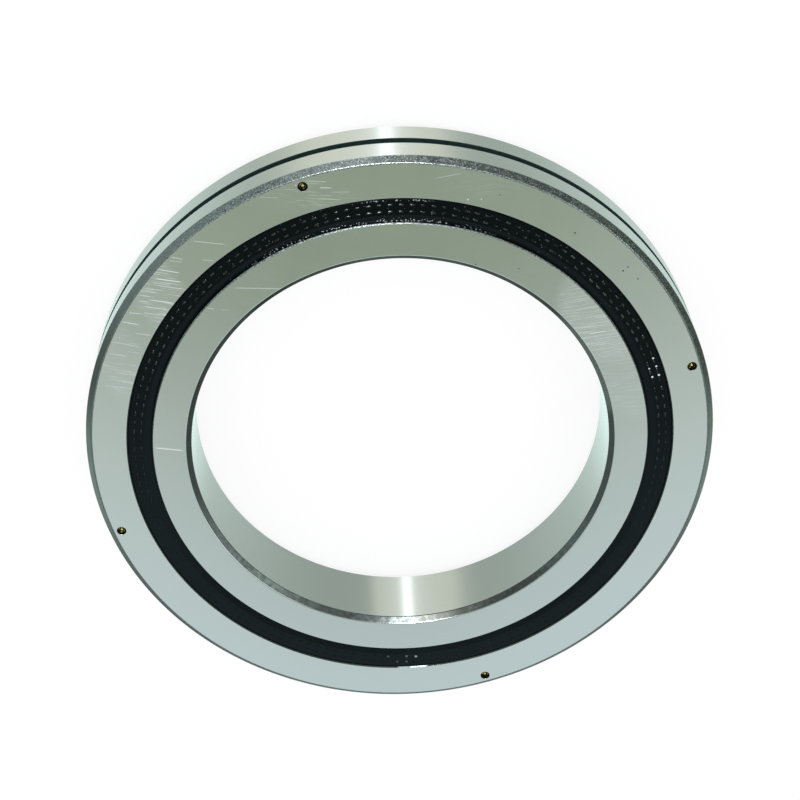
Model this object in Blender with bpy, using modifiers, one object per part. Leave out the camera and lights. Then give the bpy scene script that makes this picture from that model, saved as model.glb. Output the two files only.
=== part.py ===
"""Crossed roller bearing: one-piece inner ring, split outer ring, black seal on each side.

Lengths are in metres. The bearing lies flat, its axis is +Z, and the middle of its lower
face is the origin. Each piece is modelled about the middle plane and then lifted by half
the width.
"""
import math

import bmesh
import bpy
from mathutils import Matrix, Vector

OBJECT_NAME = "crossed_roller_bearing"

# Rings: each section runs from the bore, or the outside, to the circle of roller centres
BORE_DIAMETER = 0.100
INNER_SECTION = 0.0122
OUTER_SECTION = 0.0128
BORE_CHAMFER = 0.0013
OUTSIDE_CHAMFER = 0.0014
SHOULDER_BREAK = 0.00025
SEAL_SPACE_WIDTH = 0.0058

# Rollers: each is turned a right angle from the next one
ROLLER_DIAMETER = 0.0080
ROLLER_LENGTH = 0.0076
ROLLER_CHAMFER = 0.0003
CONTACT_ANGLE = math.radians(45)

# Relief ground into the bottom of each raceway groove
RELIEF_HALF_WIDTH = 0.0006
RELIEF_DEPTH = 0.0004

# Cage: a band with one window for each roller
CAGE_THICKNESS = 0.0020
CAGE_RIM = 0.00116
LEAST_CAGE_BAR = 0.0011

# Seals
SEAL_RECESS = 0.0003
SEAL_THICKNESS = 0.0020
SEAL_EDGE_BREAK = 0.0002
SEAL_LIP_WIDTH = 0.0015
SEAL_LIP_DROP = 0.0006
SEAL_LIP_THICKNESS = 0.0007
SEAL_BEAD_DEPTH = 0.0007
SEAL_BEAD_HEIGHT = 0.0008
SEAL_BEAD_REACH = 0.0006

# Lubricating groove round the outside, and the ports from it to the raceway
OIL_GROOVE_WIDTH = 0.0028
OIL_GROOVE_DEPTH = 0.0012
OIL_PORT_DIAMETER = 0.0016
OIL_PORT_COUNT = 4

# Rivets that hold the two halves of the outer ring together
RIVET_COUNT = 4
RIVET_ANGLE = math.radians(20.5)
RIVET_SHANK_DIAMETER = 0.0008
RIVET_HEAD_DIAMETER = 0.0016
RIVET_HEAD_HEIGHT = 0.0007
RIVET_HEAD_RECESS = 0.0005
RIVET_HEAD_RIM = 0.00015
RIVET_DIMPLE_DEPTH = 0.0004
RIVET_DIMPLE_FLOOR = 0.0004

# Clearances between neighbours
CLEARANCE = 0.0003
SEAL_TO_CAGE_CLEARANCE = 0.0006
CUTTER_EXTRA = 0.0010

# Facets
RING_STEPS = 72
CAGE_STEPS = 80
WINDOW_STEPS = 12
ROLLER_STEPS = 12
RIVET_STEPS = 10
PORT_STEPS = 8
SHARP_ANGLE = math.radians(32)
MERGE_DISTANCE = 0.000001

# Sizes that follow from the ones above
bore_radius = BORE_DIAMETER / 2
pitch_radius = bore_radius + INNER_SECTION
outside_radius = pitch_radius + OUTER_SECTION
groove_half_side = max(ROLLER_DIAMETER, ROLLER_LENGTH) / 2 + CLEARANCE
groove_reach = groove_half_side * math.sqrt(2)

window_half_height = ROLLER_DIAMETER / 2 + CLEARANCE
window_half_length = ROLLER_LENGTH / 2 + CLEARANCE
window_corner_radius = window_half_height / math.cos(math.pi / WINDOW_STEPS)
window_reach = (window_half_length * math.sin(CONTACT_ANGLE)
                + window_half_height * math.cos(CONTACT_ANGLE))
cage_half_height = window_reach + CAGE_RIM
lip_offset = CAGE_THICKNESS / 2 + CLEARANCE
roller_pair_length = 2 * (2 * window_half_height + LEAST_CAGE_BAR)
roller_count = 2 * math.floor(2 * math.pi * pitch_radius / roller_pair_length)

seal_bottom = cage_half_height + SEAL_TO_CAGE_CLEARANCE
seal_top = seal_bottom + SEAL_THICKNESS
seal_floor = seal_bottom - CLEARANCE
half_width = seal_top + SEAL_RECESS
inner_shoulder_radius = pitch_radius - SEAL_SPACE_WIDTH / 2
outer_shoulder_radius = pitch_radius + SEAL_SPACE_WIDTH / 2
seal_inner_radius = inner_shoulder_radius + CLEARANCE
seal_outer_radius = outer_shoulder_radius - CLEARANCE
bead_radius = seal_outer_radius + SEAL_BEAD_REACH
bead_top = seal_top - SEAL_BEAD_DEPTH
bead_bottom = bead_top - SEAL_BEAD_HEIGHT

rivet_circle_radius = (pitch_radius + groove_reach + outside_radius) / 2
rivet_top = half_width - RIVET_HEAD_RECESS
rivet_head_bottom = rivet_top - RIVET_HEAD_HEIGHT


def clear_scene():
    """Remove what the scene holds."""
    for item in list(bpy.data.objects):
        bpy.data.objects.remove(item, do_unlink=True)
    for collection in list(bpy.data.collections):
        bpy.data.collections.remove(collection)


def new_collection(name):
    """Make a collection in the scene."""
    collection = bpy.data.collections.new(name)
    bpy.context.scene.collection.children.link(collection)
    return collection


def new_material(name, colour, roughness, metallic):
    """Make a Principled material of one colour."""
    made = bpy.data.materials.new(name)
    made.use_nodes = True
    shader = made.node_tree.nodes["Principled BSDF"]
    shader.inputs["Base Color"].default_value = (*colour, 1.0)
    shader.inputs["Roughness"].default_value = roughness
    shader.inputs["Metallic"].default_value = metallic
    return made


def ring_steel(name):
    """Ground bearing steel with a slight green tint."""
    return new_material(name, (0.40, 0.43, 0.40), 0.32, 1.0)


def roller_steel(name):
    """Polished bearing steel."""
    return new_material(name, (0.58, 0.59, 0.60), 0.15, 1.0)


def black_rubber(name):
    """Oily black seal rubber."""
    return new_material(name, (0.012, 0.014, 0.016), 0.42, 0.0)


def rivet_brass(name):
    """Bright yellow brass."""
    return new_material(name, (0.72, 0.52, 0.20), 0.28, 1.0)


def cage_plastic(name):
    """Cream moulded polyamide."""
    return new_material(name, (0.62, 0.55, 0.40), 0.55, 0.0)


def turned(name, profile, steps, closed, collection):
    """Turn a profile of (radius, height) points round Z.

    A closed profile makes a ring. An open one starts and ends on the axis.
    """
    mesh = bpy.data.meshes.new(name)
    last = len(profile) - 1
    edges = [(index, index + 1) for index in range(last)]
    if closed:
        edges.append((last, 0))
    mesh.from_pydata([(radius, 0.0, height) for radius, height in profile], edges, [])
    piece = bpy.data.objects.new(name, mesh)
    collection.objects.link(piece)
    screw = piece.modifiers.new("turn", "SCREW")
    screw.axis = "Z"
    screw.angle = 2 * math.pi
    screw.steps = steps
    screw.render_steps = steps
    screw.use_merge_vertices = True
    screw.merge_threshold = MERGE_DISTANCE
    return piece


def settle(piece):
    """Make the modifiers' result the piece's own mesh."""
    depsgraph = bpy.context.evaluated_depsgraph_get()
    mesh = bpy.data.meshes.new_from_object(piece.evaluated_get(depsgraph))
    outline = piece.data
    piece.modifiers.clear()
    piece.data = mesh
    bpy.data.meshes.remove(outline)
    mesh.name = piece.name


def dress(piece, finish):
    """Give a settled piece its material, and shade its round faces smooth."""
    piece.data.materials.append(finish)
    piece.data.shade_smooth()
    piece.data.set_sharp_from_angle(angle=SHARP_ANGLE)


def twin_of(piece, name, finish, collection):
    """Make another piece from the same mesh, with a material of its own."""
    twin = bpy.data.objects.new(name, piece.data)
    collection.objects.link(twin)
    twin.material_slots[0].link = "OBJECT"
    twin.material_slots[0].material = finish
    return twin


def new_cutter(name, profile, steps, places, collection):
    """Join one turned tool for each place into a single cutter."""
    tool = turned(name, profile, steps, False, collection)
    settle(tool)
    joined = bmesh.new()
    for place in places:
        done = len(joined.verts)
        joined.from_mesh(tool.data)
        joined.verts.ensure_lookup_table()
        bmesh.ops.transform(joined, matrix=place, verts=joined.verts[done:])
    joined.to_mesh(tool.data)
    joined.free()
    tool.hide_render = True
    tool.display_type = "WIRE"
    return tool


def cut(piece, cutter):
    """Take a cutter away from a piece."""
    boolean = piece.modifiers.new(cutter.name, "BOOLEAN")
    boolean.operation = "DIFFERENCE"
    boolean.solver = "EXACT"
    boolean.object = cutter


def round_the_axis(angle):
    """Turn about Z."""
    return Matrix.Rotation(angle, 4, "Z")


def flip_about(angle):
    """Turn upside down about the line in the middle plane at this angle."""
    return Matrix.Rotation(math.pi, 4, Vector((math.cos(angle), math.sin(angle), 0.0)))


def at_middle_plane():
    """Lift a piece from the floor's plane to the bearing's middle plane."""
    return Matrix.Translation((0.0, 0.0, half_width))


def cylinder_profile(radius, top, bottom):
    """The profile of a plain cylinder."""
    return [(0.0, top), (radius, top), (radius, bottom), (0.0, bottom)]


def inner_ring_profile():
    """The inner ring's section: shoulders, raceway with its relief, bore and chamfers."""
    lip_radius = pitch_radius - lip_offset
    groove_radius = pitch_radius - groove_reach
    upper_outside = [
        (inner_shoulder_radius - SHOULDER_BREAK, half_width),
        (inner_shoulder_radius, half_width - SHOULDER_BREAK),
        (inner_shoulder_radius, seal_floor),
        (lip_radius, seal_floor),
        (lip_radius, groove_reach - lip_offset),
        (groove_radius + RELIEF_HALF_WIDTH, RELIEF_HALF_WIDTH),
        (groove_radius - RELIEF_DEPTH, RELIEF_HALF_WIDTH),
    ]
    lower_outside = [(radius, -height) for radius, height in reversed(upper_outside)]
    bore = [
        (bore_radius + BORE_CHAMFER, -half_width),
        (bore_radius, BORE_CHAMFER - half_width),
        (bore_radius, half_width - BORE_CHAMFER),
        (bore_radius + BORE_CHAMFER, half_width),
    ]
    return upper_outside + lower_outside + bore


def outer_half_profile():
    """The section of one half of the outer ring, above the middle plane."""
    split_height = CLEARANCE / 2
    lip_radius = pitch_radius + lip_offset
    groove_radius = pitch_radius + groove_reach
    bead_groove_radius = bead_radius + CLEARANCE
    outside = [
        (outside_radius - OUTSIDE_CHAMFER, half_width),
        (outside_radius, half_width - OUTSIDE_CHAMFER),
        (outside_radius, OIL_GROOVE_WIDTH / 2),
        (outside_radius - OIL_GROOVE_DEPTH, OIL_GROOVE_WIDTH / 2),
        (outside_radius - OIL_GROOVE_DEPTH, split_height),
    ]
    raceway = [
        (groove_radius + RELIEF_DEPTH, split_height),
        (groove_radius + RELIEF_DEPTH, RELIEF_HALF_WIDTH),
        (groove_radius - RELIEF_HALF_WIDTH, RELIEF_HALF_WIDTH),
        (lip_radius, groove_reach - lip_offset),
        (lip_radius, seal_floor),
    ]
    seal_seat = [
        (outer_shoulder_radius, seal_floor),
        (outer_shoulder_radius, bead_bottom - CLEARANCE),
        (bead_groove_radius, bead_bottom - CLEARANCE),
        (bead_groove_radius, bead_top + CLEARANCE),
        (outer_shoulder_radius, bead_top + CLEARANCE),
        (outer_shoulder_radius, half_width - SHOULDER_BREAK),
        (outer_shoulder_radius + SHOULDER_BREAK, half_width),
    ]
    return outside + raceway + seal_seat


def seal_profile():
    """The upper seal's section: bead in the outer ring, and thin lip towards the inner one."""
    lip_root_radius = seal_inner_radius + SEAL_LIP_WIDTH
    lip_top = seal_top - SEAL_LIP_DROP
    return [
        (seal_outer_radius - SEAL_EDGE_BREAK, seal_top),
        (seal_outer_radius, seal_top - SEAL_EDGE_BREAK),
        (seal_outer_radius, bead_top),
        (bead_radius, bead_top),
        (bead_radius, bead_bottom),
        (seal_outer_radius, bead_bottom),
        (seal_outer_radius, seal_bottom),
        (lip_root_radius, seal_bottom),
        (seal_inner_radius, lip_top - SEAL_LIP_THICKNESS),
        (seal_inner_radius, lip_top),
        (lip_root_radius, seal_top),
    ]


def rivet_profile():
    """Half of a rivet, from the dimple in its head to the middle of its shank."""
    head_radius = RIVET_HEAD_DIAMETER / 2
    shank_radius = RIVET_SHANK_DIAMETER / 2
    upper = [
        (0.0, rivet_top - RIVET_DIMPLE_DEPTH),
        (RIVET_DIMPLE_FLOOR / 2, rivet_top - RIVET_DIMPLE_DEPTH),
        (head_radius - RIVET_HEAD_RIM, rivet_top),
        (head_radius, rivet_top),
        (head_radius, rivet_head_bottom),
        (shank_radius, rivet_head_bottom),
    ]
    return upper + [(radius, -height) for radius, height in reversed(upper)]


def roller_profile():
    """The section of a roller with broken edges."""
    radius = ROLLER_DIAMETER / 2
    end = ROLLER_LENGTH / 2
    return [
        (0.0, end),
        (radius - ROLLER_CHAMFER, end),
        (radius, end - ROLLER_CHAMFER),
        (radius, ROLLER_CHAMFER - end),
        (radius - ROLLER_CHAMFER, -end),
        (0.0, -end),
    ]


def cage_profile():
    """The plain band that the windows are cut from."""
    outer = pitch_radius + CAGE_THICKNESS / 2
    inner = pitch_radius - CAGE_THICKNESS / 2
    return [
        (outer, cage_half_height),
        (outer, -cage_half_height),
        (inner, -cage_half_height),
        (inner, cage_half_height),
    ]


def rivet_angles():
    """Where the rivets stand round the outer ring."""
    return [RIVET_ANGLE + 2 * math.pi * index / RIVET_COUNT for index in range(RIVET_COUNT)]


def rivet_place(angle):
    """A rivet's place, from its angle."""
    return round_the_axis(angle) @ Matrix.Translation((rivet_circle_radius, 0.0, 0.0))


def rivet_hole_cutter(collection):
    """The stepped holes for the rivets, through the upper half of the outer ring."""
    head_radius = RIVET_HEAD_DIAMETER / 2 + CLEARANCE
    shank_radius = RIVET_SHANK_DIAMETER / 2 + CLEARANCE
    step_height = rivet_head_bottom - CLEARANCE
    profile = [
        (0.0, half_width + CUTTER_EXTRA),
        (head_radius, half_width + CUTTER_EXTRA),
        (head_radius, step_height),
        (shank_radius, step_height),
        (shank_radius, -CUTTER_EXTRA),
        (0.0, -CUTTER_EXTRA),
    ]
    places = [rivet_place(angle) for angle in rivet_angles()]
    return new_cutter("rivet_holes", profile, RIVET_STEPS, places, collection)


def oil_port_cutter(collection):
    """Radial ports on the split plane, midway between the rivets."""
    start = pitch_radius + groove_reach
    end = outside_radius
    profile = cylinder_profile(OIL_PORT_DIAMETER / 2, (end - start) / 2, (start - end) / 2)
    along_x = (Matrix.Translation(((start + end) / 2, 0.0, 0.0))
               @ Matrix.Rotation(math.pi / 2, 4, "Y"))
    half_step = math.pi / RIVET_COUNT
    places = [round_the_axis(RIVET_ANGLE + half_step + 2 * math.pi * index / OIL_PORT_COUNT)
              @ along_x for index in range(OIL_PORT_COUNT)]
    return new_cutter("oil_ports", profile, PORT_STEPS, places, collection)


def roller_place(index):
    """A roller's place in the cage: its axis tilts outwards and inwards by turns."""
    tilt = CONTACT_ANGLE if index % 2 == 0 else -CONTACT_ANGLE
    return (round_the_axis(2 * math.pi * index / roller_count)
            @ Matrix.Translation((pitch_radius, 0.0, 0.0))
            @ Matrix.Rotation(tilt, 4, "Y"))


def window_cutter(name, first, collection):
    """The windows for every second roller, with a flat of each one towards the bars."""
    profile = cylinder_profile(window_corner_radius, window_half_length, -window_half_length)
    flats_to_bars = round_the_axis(math.pi / 2 - math.pi / WINDOW_STEPS)
    places = [roller_place(index) @ flats_to_bars
              for index in range(first, roller_count, 2)]
    return new_cutter(name, profile, WINDOW_STEPS, places, collection)


def build_inner_ring(parts):
    """The one-piece inner ring."""
    ring = turned("inner_ring", inner_ring_profile(), RING_STEPS, True, parts)
    settle(ring)
    dress(ring, ring_steel("inner_ring_steel"))
    ring.matrix_world = at_middle_plane()


def build_outer_ring(parts, cutters):
    """The two like halves of the outer ring, the lower one upside down."""
    upper = turned("outer_ring_upper", outer_half_profile(), RING_STEPS, True, parts)
    cut(upper, rivet_hole_cutter(cutters))
    cut(upper, oil_port_cutter(cutters))
    settle(upper)
    dress(upper, ring_steel("outer_ring_upper_steel"))
    upper.matrix_world = at_middle_plane()
    lower = twin_of(upper, "outer_ring_lower", ring_steel("outer_ring_lower_steel"), parts)
    lower.matrix_world = at_middle_plane() @ flip_about(RIVET_ANGLE)


def build_seals(parts):
    """The seal in each face."""
    upper = turned("seal_upper", seal_profile(), RING_STEPS, True, parts)
    settle(upper)
    dress(upper, black_rubber("seal_upper_rubber"))
    upper.matrix_world = at_middle_plane()
    lower = twin_of(upper, "seal_lower", black_rubber("seal_lower_rubber"), parts)
    lower.matrix_world = at_middle_plane() @ flip_about(0.0)


def build_rivets(parts):
    """The rivets through both halves of the outer ring."""
    first = None
    for number, angle in enumerate(rivet_angles(), 1):
        name = f"rivet_{number}"
        finish = rivet_brass(f"{name}_brass")
        if first is None:
            rivet = turned(name, rivet_profile(), RIVET_STEPS, False, parts)
            settle(rivet)
            dress(rivet, finish)
            first = rivet
        else:
            rivet = twin_of(first, name, finish, parts)
        rivet.matrix_world = at_middle_plane() @ rivet_place(angle)


def build_cage(parts, cutters):
    """The cage band with its crossed windows."""
    cage = turned("roller_cage", cage_profile(), CAGE_STEPS, True, parts)
    cut(cage, window_cutter("outward_windows", 0, cutters))
    cut(cage, window_cutter("inward_windows", 1, cutters))
    settle(cage)
    dress(cage, cage_plastic("roller_cage_plastic"))
    cage.matrix_world = at_middle_plane()
    return cage


def build_rollers(parts, cage):
    """The rollers, each on its own slanted axis and carried round by the cage."""
    first = None
    for index in range(roller_count):
        name = f"roller_{index + 1:02d}"
        finish = roller_steel(f"{name}_steel")
        if first is None:
            roller = turned(name, roller_profile(), ROLLER_STEPS, False, parts)
            settle(roller)
            dress(roller, finish)
            first = roller
        else:
            roller = twin_of(first, name, finish, parts)
        roller.parent = cage
        roller.matrix_local = roller_place(index)


def build():
    """Model the whole bearing."""
    clear_scene()
    parts = new_collection(OBJECT_NAME)
    cutters = new_collection("cutters")
    build_inner_ring(parts)
    build_outer_ring(parts, cutters)
    build_seals(parts)
    build_rivets(parts)
    cage = build_cage(parts, cutters)
    build_rollers(parts, cage)


build()
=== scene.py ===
"""Looks of the crossed roller bearing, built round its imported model.

The bearing lies flat with its axis on +Z. Every section below is drawn about the middle plane,
turned round the axis, and lifted by half the width. Lengths are in metres.
"""
import math

import bmesh
import bpy
from mathutils import Matrix, Vector


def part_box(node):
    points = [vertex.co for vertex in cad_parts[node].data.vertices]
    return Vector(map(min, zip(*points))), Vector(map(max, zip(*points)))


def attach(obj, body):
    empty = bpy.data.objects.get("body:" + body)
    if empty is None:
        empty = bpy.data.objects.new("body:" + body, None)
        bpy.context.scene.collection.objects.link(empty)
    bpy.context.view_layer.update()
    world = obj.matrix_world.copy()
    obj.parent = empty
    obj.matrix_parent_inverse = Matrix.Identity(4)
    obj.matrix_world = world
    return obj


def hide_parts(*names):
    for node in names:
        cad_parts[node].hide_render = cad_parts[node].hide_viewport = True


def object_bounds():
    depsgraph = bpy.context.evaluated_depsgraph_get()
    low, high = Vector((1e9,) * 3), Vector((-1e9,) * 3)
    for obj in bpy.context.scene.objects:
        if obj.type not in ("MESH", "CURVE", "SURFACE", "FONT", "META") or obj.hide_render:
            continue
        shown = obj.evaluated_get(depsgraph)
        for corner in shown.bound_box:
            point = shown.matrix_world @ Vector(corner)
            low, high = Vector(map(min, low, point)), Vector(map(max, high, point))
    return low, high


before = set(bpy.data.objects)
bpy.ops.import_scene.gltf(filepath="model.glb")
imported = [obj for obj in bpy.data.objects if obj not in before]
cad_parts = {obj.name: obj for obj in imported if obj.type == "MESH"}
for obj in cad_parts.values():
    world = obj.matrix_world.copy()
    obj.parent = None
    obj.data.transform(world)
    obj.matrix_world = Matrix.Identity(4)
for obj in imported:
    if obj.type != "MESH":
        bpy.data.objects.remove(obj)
cad_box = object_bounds()

MM = 0.001

# The bearing's own sizes, as in the part's source
BORE_RADIUS = 50 * MM
PITCH_RADIUS = 62.2 * MM
BORE_CHAMFER = 1.3 * MM
OUTSIDE_CHAMFER = 1.4 * MM
SHOULDER_BREAK = 0.25 * MM
SEAL_SPACE_WIDTH = 5.8 * MM
CLEARANCE = 0.3 * MM
ROLLER_DIAMETER = 8.0 * MM
ROLLER_LENGTH = 7.6 * MM
ROLLER_CHAMFER = 0.3 * MM
CONTACT_ANGLE = math.radians(45)
RELIEF_HALF_WIDTH = 0.6 * MM
RELIEF_DEPTH = 0.4 * MM
CAGE_THICKNESS = 2.0 * MM
SEAL_TO_CAGE_CLEARANCE = 0.6 * MM
SEAL_THICKNESS = 2.0 * MM
SEAL_EDGE_BREAK = 0.2 * MM
SEAL_LIP_WIDTH = 1.5 * MM
SEAL_LIP_DROP = 0.6 * MM
SEAL_LIP_THICKNESS = 0.7 * MM
SEAL_BEAD_DEPTH = 0.7 * MM
SEAL_BEAD_HEIGHT = 0.8 * MM
SEAL_BEAD_REACH = 0.6 * MM
OIL_GROOVE_WIDTH = 2.8 * MM
OIL_GROOVE_DEPTH = 1.2 * MM
OIL_PORT_DIAMETER = 1.6 * MM
RIVET_COUNT = 4
RIVET_ANGLE = math.radians(20.5)
RIVET_SHANK_DIAMETER = 0.8 * MM
RIVET_HEAD_DIAMETER = 1.6 * MM
RIVET_HEAD_HEIGHT = 0.7 * MM
RIVET_HEAD_RECESS = 0.5 * MM
RIVET_HEAD_RIM = 0.15 * MM
RIVET_DIMPLE_DEPTH = 0.4 * MM

# Rounding of the edges, and the fineness of the meshes
EDGE_ROUND = 0.22 * MM
SMALL_ROUND = 0.07 * MM
CHAMFER_CROWN = 0.50 * MM
BORE_CROWN = 0.28 * MM
ARC_STEPS = 5
SUPPORT_GAP = 0.06 * MM
RING_COLUMNS = 480
CAGE_COLUMNS = 480
ROLLER_COLUMNS = 40
WINDOW_COLUMNS = 36
RIVET_COLUMNS = 48
SHARP_ANGLE = math.radians(35)
SEAL_SHARP_ANGLE = math.radians(60)

# Moulded nubs on the seal, each a small pad with bevelled sides
NUBS_IN_A_ROW = 162
NUB_FIRST_ANGLE = math.radians(90.63)
NUB_ROW_RADII = (61.9 * MM, 63.55 * MM)
NUB_LENGTH = 1.2 * MM
NUB_WIDTH = 0.54 * MM
NUB_HEIGHT = 0.125 * MM
NUB_BEVEL = 0.16 * MM
NUB_CORNER = 0.21 * MM
NUB_CORNER_STEPS = 3
NUB_SINK = 0.05 * MM

# The rubber reaches closer to the rings than the solids do
SEAL_GAP = 0.06 * MM

# The pip that the punch left in each rivet's dimple
PIP_RADIUS = 0.34 * MM
PIP_DEPTH = 0.15 * MM
PIP_CROWN = 0.05 * MM
PIP_VALLEY = 0.08 * MM

outside_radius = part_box("outer_ring_upper")[1].x
half_width = (cad_box[1].z - cad_box[0].z) / 2
cage_half_height = (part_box("roller_cage")[1].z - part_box("roller_cage")[0].z) / 2
roller_nodes = sorted(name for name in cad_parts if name.startswith("roller_")
                      and name != "roller_cage")
roller_count = len(roller_nodes)

groove_reach = (ROLLER_DIAMETER / 2 + CLEARANCE) * math.sqrt(2)
lip_offset = CAGE_THICKNESS / 2 + CLEARANCE
seal_bottom = cage_half_height + SEAL_TO_CAGE_CLEARANCE
seal_top = seal_bottom + SEAL_THICKNESS
seal_floor = seal_bottom - CLEARANCE
inner_shoulder_radius = PITCH_RADIUS - SEAL_SPACE_WIDTH / 2
outer_shoulder_radius = PITCH_RADIUS + SEAL_SPACE_WIDTH / 2
seal_inner_radius = inner_shoulder_radius + SEAL_GAP
seal_outer_radius = outer_shoulder_radius - SEAL_GAP
bead_radius = outer_shoulder_radius - CLEARANCE + SEAL_BEAD_REACH
bead_top = seal_top - SEAL_BEAD_DEPTH
bead_bottom = bead_top - SEAL_BEAD_HEIGHT
rivet_circle_radius = (PITCH_RADIUS + groove_reach + outside_radius) / 2
rivet_top = half_width - RIVET_HEAD_RECESS
rivet_head_bottom = rivet_top - RIVET_HEAD_HEIGHT

# The camera, from the photograph's own perspective
IMAGE_WIDTH = 800
FOCAL_PIXELS = 1812.54
SENSOR_WIDTH = 36.0
CAMERA_TILT = 0.5152136
CAMERA_PAN = 0.0509731
CAMERA_ROLL = -0.0281431
CAMERA_OFFSET = Vector((0.249, -12.057, -433.667)) * MM


class Signal:
    """A socket of a shader tree. Arithmetic on signals adds Math nodes to the tree."""

    def __init__(self, tree, socket):
        self.tree = tree
        self.socket = socket

    def math(self, operation, *values):
        return add_node(self.tree, "ShaderNodeMath", {"operation": operation},
                        dict(enumerate(values)))

    def __add__(self, other):
        return self.math("ADD", self, other)

    def __radd__(self, other):
        return self.math("ADD", other, self)

    def __sub__(self, other):
        return self.math("SUBTRACT", self, other)

    def __rsub__(self, other):
        return self.math("SUBTRACT", other, self)

    def __mul__(self, other):
        return self.math("MULTIPLY", self, other)

    def __rmul__(self, other):
        return self.math("MULTIPLY", other, self)

    def __truediv__(self, other):
        return self.math("DIVIDE", self, other)

    def __abs__(self):
        return self.math("ABSOLUTE", self)

    def root(self):
        return self.math("SQRT", self)

    def at_least(self, other):
        return self.math("MAXIMUM", self, other)

    def steps_up(self, start, end):
        """0 below start, 1 above end, and smooth between them."""
        return add_node(self.tree, "ShaderNodeMapRange", {"interpolation_type": "SMOOTHSTEP"},
                        {"Value": self, "From Min": start, "From Max": end})


def add_node(tree, kind, settings, sockets, output=0):
    """Add a node: its settings first, then its sockets' values or links.

    Returns one of its outputs, if it has any.
    """
    node = tree.nodes.new(kind)
    for name, value in settings.items():
        setattr(node, name, value)
    for name, value in sockets.items():
        if isinstance(value, Signal):
            tree.links.new(value.socket, node.inputs[name])
        else:
            node.inputs[name].default_value = value
    return Signal(tree, node.outputs[output]) if node.outputs else None


def mix_colours(share, first, second):
    """The first colour where the share is 0 and the second where it is 1."""
    sockets = {0: share}
    for index, colour in ((6, first), (7, second)):
        sockets[index] = colour if isinstance(colour, Signal) else (*colour, 1.0)
    return add_node(share.tree, "ShaderNodeMix", {"data_type": "RGBA"}, sockets, 2)


def shade(colour, level):
    """A colour times one number."""
    return tuple(level * part for part in colour)


def shaded(share, colour, low, high):
    """One colour at two levels, the low one where the share is 0."""
    return mix_colours(share, shade(colour, low), shade(colour, high))


def scaled(vector, factors):
    """A vector times three factors."""
    return add_node(vector.tree, "ShaderNodeVectorMath", {"operation": "MULTIPLY"},
                    {0: vector, 1: factors})


def turned_by(vector, angle):
    """A vector turned about Z."""
    return add_node(vector.tree, "ShaderNodeVectorRotate", {"rotation_type": "Z_AXIS"},
                    {"Vector": vector, "Angle": angle})


def split(vector):
    """The three numbers of a vector."""
    x = add_node(vector.tree, "ShaderNodeSeparateXYZ", {}, {0: vector})
    return [Signal(x.tree, socket) for socket in x.socket.node.outputs]


def noise(vector, scale, detail=3.0, roughness=0.5):
    """Soft noise between about 0.2 and 0.8."""
    return add_node(vector.tree, "ShaderNodeTexNoise", {"noise_dimensions": "3D"},
                    {"Vector": vector, "Scale": scale, "Detail": detail,
                     "Roughness": roughness})


def grains(vector, scale, radius):
    """A mask of scattered round grains. The radius is a share of their spacing."""
    far = add_node(vector.tree, "ShaderNodeTexVoronoi", {}, {"Vector": vector, "Scale": scale})
    return 1 - (far - radius).steps_up(-0.08, 0.0)


def bump(height, distance, strength):
    """A bump from a height between 0 and 1."""
    return add_node(height.tree, "ShaderNodeBump", {},
                    {"Height": height, "Distance": distance, "Strength": strength})


def new_finish(name):
    """A material with its shader and the place of each point on the piece."""
    material = bpy.data.materials.new(name)
    material.use_nodes = True
    shader = material.node_tree.nodes["Principled BSDF"]
    place = add_node(material.node_tree, "ShaderNodeTexCoord", {}, {}, 3)
    return material, shader, place


def drive(shader, **signals):
    """Link signals to the shader's sockets, named with _ for each space."""
    for name, signal in signals.items():
        signal.tree.links.new(signal.socket, shader.inputs[name.replace("_", " ")])


def hold(shader, **values):
    """Set the shader's own values."""
    for name, value in values.items():
        shader.inputs[name.replace("_", " ")].default_value = value


STEEL = (0.55, 0.58, 0.555)
SCRATCHED_STEEL = (0.85, 0.86, 0.88)
PIT_BLACK = (0.05, 0.05, 0.04)
SCALE_DARK = (0.055, 0.062, 0.058)
SCALE_PALE = (0.27, 0.29, 0.28)
SCALE_CALM = (0.17, 0.185, 0.18)

STREAK_FINENESS = 4300.0
STREAK_STRETCH = 38.0

# The side of the rings toward the camera and the lamp, where edges get a painted sheen and the seal
# a painted blacker shade
NEAR_SIDE = math.radians(-90)

# Painted glints on the rubber and on the edge beside it: places and reaches in millimetres
NUB_GLINT_SPOTS = [((-57.7, -26.8), 0.28, 0.9), ((-58.7, -24.7), 0.28, 0.9),
              ((-59.6, -22.4), 0.30, 1.0), ((-57.1, -24.0), 0.24, 0.8),
              ((-58.1, -21.8), 0.28, 1.0), ((-6.9, 61.7), 0.40, 0.35),
              ((-4.5, 61.7), 0.40, 0.12), ((-4.6, 63.4), 0.35, 0.10),
              ((-2.2, 63.5), 0.35, 0.08), ((0.2, 61.9), 0.35, 0.08)]
SHOULDER_GLINT_SPOTS = [((-4.6, 64.5), 2.6, 0.35), ((-7.6, 64.3), 2.8, 0.6)]
RIM_GLINT_PLACE = (4.0, -64.5)
RIM_GLINT_REACH = 9.0
RIM_GLINT_INSET = 0.35 * MM
GREASE_GLINT_REACH = 0.7 * MM
GREASE_GLINT_SIDE = math.radians(-80)


def strongest(masks):
    """The largest of several masks at each point."""
    total = masks[0]
    for mask in masks[1:]:
        total = total.at_least(mask)
    return total


def offsets(x, y, centre):
    """How far a point is from a place, along X and Y."""
    return x - centre[0] * MM, y - centre[1] * MM


def spot(x, y, centre, radius):
    """A mask of one round spot, in millimetres."""
    off_x, off_y = offsets(x, y, centre)
    far = (off_x * off_x + off_y * off_y) / (radius * MM) ** 2
    return 1 - far.steps_up(0.4, 1.0)


def spots(x, y, places):
    """The strongest of several spots, each a centre, a reach and a level."""
    return strongest([spot(x, y, centre, reach) * level for centre, reach, level in places])


def from_axis(x, y):
    """How far a point is from the bearing's axis."""
    return (x * x + y * y).root()


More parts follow.
